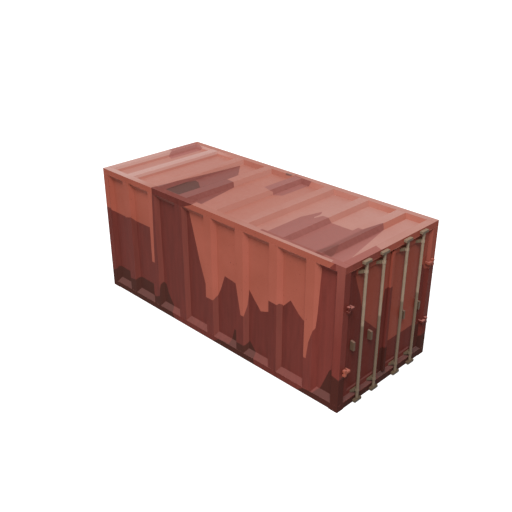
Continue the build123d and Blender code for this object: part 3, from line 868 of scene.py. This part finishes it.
# The leaves' seals: their lip, and their section as inset from its edge and depth (metres)
SEAL_LIP = 0.003
SEAL_DEPTH = 0.005
SEAL_PROFILE = [
    (0.0, 0.001), (0.0, 0.003), (0.007, 0.006), (0.026, 0.005), (0.030, 0.002), (0.030, -0.001),
    (0.003, -0.001),
]


def new_tree(name, inputs):
    """An empty Geometry Nodes tree with named inputs, its graph and its inputs' sockets."""
    tree = bpy.data.node_groups.new(name, "GeometryNodeTree")
    tree.interface.new_socket("Path", in_out="INPUT", socket_type="NodeSocketGeometry")
    for label, kind in inputs.items():
        tree.interface.new_socket(label, in_out="INPUT", socket_type=kind)
    tree.interface.new_socket("Pieces", in_out="OUTPUT", socket_type="NodeSocketGeometry")
    graph = Graph(tree)
    return tree, graph, graph.node("NodeGroupInput").outputs


def end_tree(graph, made, finish):
    """Close a tree: real geometry, with its finish."""
    realized = graph.node("GeometryNodeRealizeInstances", {"Geometry": made}).outputs[0]
    inputs = {"Geometry": realized, "Material": finish}
    finished = graph.node("GeometryNodeSetMaterial", inputs).outputs[0]
    graph.feed(graph.node("NodeGroupOutput").inputs[0], finished)


def bead_tree():
    """A weld bead along each path, whose rings swell and shrink in turn."""
    inputs = {
        "Radius": "NodeSocketFloat", "Ring": "NodeSocketFloat",
        "Hollow": "NodeSocketFloat", "Finish": "NodeSocketMaterial",
    }
    tree, graph, given = new_tree("weld_bead", inputs)
    path = graph.node("GeometryNodeMeshToCurve", {"Mesh": given["Path"]}).outputs[0]
    inputs = {"Curve": path, "Length": given["Ring"]}
    rings = graph.node("GeometryNodeResampleCurve", inputs, mode="LENGTH").outputs[0]
    inputs = {"Resolution": BEAD_SIDES, "Radius": given["Radius"]}
    profile = graph.node("GeometryNodeCurvePrimitiveCircle", inputs).outputs[0]
    turn = graph.math("PINGPONG", graph.node("GeometryNodeInputIndex").outputs[0], 1.0)
    swell = graph.node("ShaderNodeMapRange", {0: turn, 3: given["Hollow"], 4: 1.0}).outputs[0]
    inputs = {"Curve": rings, "Profile Curve": profile, "Scale": swell, "Fill Caps": True}
    bead = graph.node("GeometryNodeCurveToMesh", inputs).outputs[0]
    inputs = {"Geometry": bead, "Shade Smooth": True}
    smooth = graph.node("GeometryNodeSetShadeSmooth", inputs).outputs[0]
    end_tree(graph, smooth, given["Finish"])
    return tree


def head_tree():
    """A row of round heads along each path, all facing one way."""
    inputs = {
        "Radius": "NodeSocketFloat", "Rise": "NodeSocketFloat", "Pitch": "NodeSocketFloat",
        "Facing": "NodeSocketVector", "Finish": "NodeSocketMaterial",
    }
    tree, graph, given = new_tree("head_row", inputs)
    path = graph.node("GeometryNodeMeshToCurve", {"Mesh": given["Path"]}).outputs[0]
    inputs = {"Curve": path, "Length": given["Pitch"]}
    places = graph.node("GeometryNodeCurveToPoints", inputs, mode="LENGTH").outputs[0]
    depth = graph.math("MULTIPLY", given["Rise"], 2.0)
    inputs = {"Vertices": HEAD_SIDES, "Radius": given["Radius"], "Depth": depth}
    head = graph.node("GeometryNodeMeshCylinder", inputs, fill_type="TRIANGLE_FAN").outputs[0]
    inputs = {"Vector": given["Facing"]}
    facing = graph.node("FunctionNodeAlignRotationToVector", inputs, axis="Z").outputs[0]
    inputs = {"Points": places, "Instance": head, "Rotation": facing}
    heads = graph.node("GeometryNodeInstanceOnPoints", inputs).outputs[0]
    end_tree(graph, heads, given["Finish"])
    return tree


def shown(name, data):
    """A new object in the scene."""
    made = bpy.data.objects.new(name, data)
    bpy.context.scene.collection.objects.link(made)
    return made


def new_piece(name, mesh, body):
    """A new piece that rides on a body."""
    piece = shown(name, mesh)
    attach(piece, body)


def laid(name, tree, paths, values, finish, body):
    """One plain mesh of what a tree lays along paths; one that ends where it starts is closed."""
    points, edges = [], []
    for path in paths:
        closed = path[0] == path[-1]
        first, count = len(points), len(path) - closed
        points += path[:count]
        edges += [(first + place, first + place + 1) for place in range(count - 1)]
        edges += [(first + count - 1, first)] * closed
    route = bpy.data.meshes.new(name + "_route")
    route.from_pydata(points, edges, [])
    carrier = shown(name + "_carrier", route)
    laying = carrier.modifiers.new("laying", "NODES")
    laying.node_group = tree
    values = {**values, "Finish": finish}
    for socket in tree.interface.items_tree:
        if socket.name in values:
            laying[socket.identifier] = values[socket.name]
    bpy.context.view_layer.update()
    evaluated = carrier.evaluated_get(bpy.context.evaluated_depsgraph_get())
    mesh = bpy.data.meshes.new_from_object(evaluated)
    mesh.name = name
    carrier.modifiers.remove(laying)
    bpy.data.objects.remove(carrier)
    new_piece(name, mesh, body)


def loop(axis, at, low, high):
    """Closed rectangular path in the plane across axis at a place, from one corner to the other."""
    corners = [low, (high[0], low[1]), high, (low[0], high[1]), low]
    return [(*corner[:axis], at, *corner[axis:]) for corner in corners]


bead, heads = bead_tree(), head_tree()

# Weld beads on the container: round the sheets, the surround, the posts' ends and the keepers
wall_low, wall_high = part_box("left_side_wall")
roof_low, roof_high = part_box("roof_panel")
surround_low, surround_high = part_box("door_surround")
front_x, door_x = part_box("front_wall")[0][0], surround_high[0]
fitting_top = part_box("door_left_bottom_fitting")[1][2]
side_y, rail_z, top_z = -wall_low[1], wall_high[2], roof_high[2]
seams = []
for side in (-side_y, side_y):
    seams.append(loop(1, side, (wall_low[0], wall_low[2]), (wall_high[0], rail_z)))
seams.append(loop(0, front_x, (roof_low[1], wall_low[2]), (roof_high[1], rail_z)))
seams.append(loop(0, door_x, surround_low[1:], surround_high[1:]))
for end_x, post_x in ((front_x, roof_low[0]), (door_x, roof_high[0])):
    for side, post_y in ((-side_y, roof_low[1]), (side_y, roof_high[1])):
        for height in (fitting_top, rail_z):
            seams.append([(post_x, side, height), (end_x, side, height), (end_x, post_y, height)])
        seams.append([(post_x, side, rail_z), (post_x, side, top_z)])
        seams.append([(end_x, post_y, rail_z), (end_x, post_y, top_z), (post_x, post_y, top_z)])
for level in ("lower_keepers", "upper_keepers"):
    low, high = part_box(level)
    half = high[1] - RODS[-1]
    for rod in RODS:
        seams.append(loop(0, door_x, (rod - half, low[2]), (rod + half, high[2])))
laid("container_welds", bead, seams, BEAD_VALUES, frame_paint, "container")

# Weld beads on the leaves, and their rubber seals with rivets
for side, sign in (("left", -1), ("right", 1)):
    body = f"{side}_door"
    leaf_low, leaf_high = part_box(f"{side}_door_frame")
    panel_low, panel_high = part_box(f"{side}_door_panel")
    catch_low, catch_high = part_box(f"{side}_catch_boxes")
    guides_low, guides_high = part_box(f"{side}_rod_guides")
    face_x, back_x = leaf_high[0], leaf_low[0]
    foot = max(-guides_low[1], guides_high[1]) - RODS[-1]
    catch_inner, catch_outer = sorted((abs(catch_low[1]), abs(catch_high[1])))
    half = (catch_outer - catch_inner - (RODS[-1] - RODS[-2])) / 2
    catch_offset = catch_outer - half - RODS[-1]
    seams = [loop(0, face_x, panel_low[1:], panel_high[1:])]
    for rod in RODS:
        if rod * sign > 0:
            near = rod + sign * catch_offset
            low, high = (near - half, catch_low[2]), (near + half, catch_high[2])
            seams.append(loop(0, catch_low[0], low, high))
            for bottom in (guides_low[2], guides_high[2] - GUIDE_HEIGHT):
                low, high = (rod - foot, bottom), (rod + foot, bottom + GUIDE_HEIGHT)
                seams.append(loop(0, face_x, low, high))
    if side == "right":
        strip_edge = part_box("cover_strip")[1][1]
        seams.append([(face_x, strip_edge, leaf_low[2]), (face_x, strip_edge, leaf_high[2])])
    laid(f"{side}_door_welds", bead, seams, BEAD_VALUES, door_paint, body)

    # The seal is swept round the leaf's back, with its lip outwards on all but the meeting side
    lip_low = (leaf_low[1] - SEAL_LIP * (sign < 0), leaf_low[2] - SEAL_LIP)
    lip_high = (leaf_high[1] + SEAL_LIP * (sign > 0), leaf_high[2] + SEAL_LIP)
    points, faces = [], []
    for ring, (inset, depth) in enumerate(SEAL_PROFILE):
        low = (lip_low[0] + inset, lip_low[1] + inset)
        high = (lip_high[0] - inset, lip_high[1] - inset)
        points += loop(0, back_x - depth, low, high)[:4]
        here, after = 4 * ring, 4 * ((ring + 1) % len(SEAL_PROFILE))
        for corner, beside in ((0, 1), (1, 2), (2, 3), (3, 0)):
            faces.append((here + corner, here + beside, after + beside, after + corner))
    seal_mesh = bpy.data.meshes.new(f"{side}_door_seal")
    seal_mesh.from_pydata(points, [], faces)
    seal_mesh.materials.append(rubber)
    new_piece(f"{side}_door_seal", seal_mesh, body)
    low = (leaf_low[1] + RIVET_INSET, leaf_low[2] + RIVET_INSET)
    high = (leaf_high[1] - RIVET_INSET, leaf_high[2] - RIVET_INSET)
    line = loop(0, back_x - SEAL_DEPTH, low, high)
    laid(f"{side}_seal_rivets", heads, [line], RIVET_VALUES, rod_steel, body)

# Screws of the floor, in a row over each cross member
floor_low, floor_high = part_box("floor")
start, end, top = floor_low[1] + SCREW_INSET, floor_high[1] - SCREW_INSET, floor_high[2]
rows = []
for member in range(-MEMBERS_EACH_WAY, MEMBERS_EACH_WAY + 1):
    along = member * MEMBER_PITCH
    rows.append([(along, start, top), (along, end, top)])
laid("floor_screws", heads, rows, SCREW_VALUES, bracket_steel, "container")


def seen_ray(graph):
    """1 for rays that come from the camera, from a reflection or through glass."""
    path = graph.node("ShaderNodeLightPath").outputs
    seen = graph.either(path["Is Camera Ray"], path["Is Glossy Ray"])
    return graph.either(seen, path["Is Transmission Ray"])


# Camera at the photo's angle (metres, and millimetres for its lens)
CAMERA_PLACE = (8.476, -8.480, 7.246)
CAMERA_AIM = (0.0, 0.0, 1.2955)
LENS = 50
SENSOR_WIDTH = 36

camera = shown("camera", bpy.data.cameras.new("camera"))
camera.data.lens = LENS
camera.data.sensor_width = SENSOR_WIDTH
camera.location = CAMERA_PLACE
look = Vector(CAMERA_AIM) - Vector(CAMERA_PLACE)
camera.rotation_euler = look.to_track_quat("-Z", "Y").to_euler()
bpy.context.scene.camera = camera

# Soft sun high over the near side, turned a little to the doors, and a white studio that
# lights less than it shows
SUN_TURN = math.radians(33)
SUN_RISE = math.radians(56.4)
SUN_LEVEL = 4.29
SUN_SOFTNESS = math.radians(28)
SKY_LEVEL = 0.30

sun = shown("sun", bpy.data.lights.new("sun", "SUN"))
sun.data.energy = SUN_LEVEL
sun.data.angle = SUN_SOFTNESS
level = math.cos(SUN_RISE)
toward_sun = (math.sin(SUN_TURN) * level, -math.cos(SUN_TURN) * level, math.sin(SUN_RISE))
sun.rotation_euler = Vector(toward_sun).to_track_quat("Z", "Y").to_euler()

world = bpy.data.worlds.new("studio")
world.use_nodes = True
world.node_tree.nodes.clear()
studio = Graph(world.node_tree)
strength = studio.between(seen_ray(studio), SKY_LEVEL, 1.0)
backdrop = studio.node("ShaderNodeBackground", {"Color": WHITE, "Strength": strength})
studio.feed(studio.node("ShaderNodeOutputWorld").inputs["Surface"], backdrop.outputs[0])
bpy.context.scene.world = world

# Plain floor that is seen as white and throws less light back (metres)
FLOOR_REACH = 400.0
FLOOR_BOUNCE = 0.3
FLOOR_SEEN = 0.5
FLOOR_GLOW = 0.72

ground_mesh = bpy.data.meshes.new("ground")
reach = FLOOR_REACH
corners = [(-reach, -reach, 0.0), (reach, -reach, 0.0), (reach, reach, 0.0), (-reach, reach, 0.0)]
ground_mesh.from_pydata(corners, [], [(0, 1, 2, 3)])
ground = shown("ground", ground_mesh)
finish, graph, shader = new_finish("ground", 0.0)
graph.feed(shader.inputs["Roughness"], 1.0)
seen = seen_ray(graph)
grey = graph.between(seen, FLOOR_BOUNCE, FLOOR_SEEN)
colour = graph.node("ShaderNodeCombineColor", {0: grey, 1: grey, 2: grey}).outputs[0]
graph.feed(shader.inputs["Base Color"], colour)
graph.feed(shader.inputs["Emission Color"], WHITE)
graph.feed(shader.inputs["Emission Strength"], graph.both(seen, FLOOR_GLOW))
ground_mesh.materials.append(finish)

bpy.context.scene.view_settings.view_transform = "Standard"
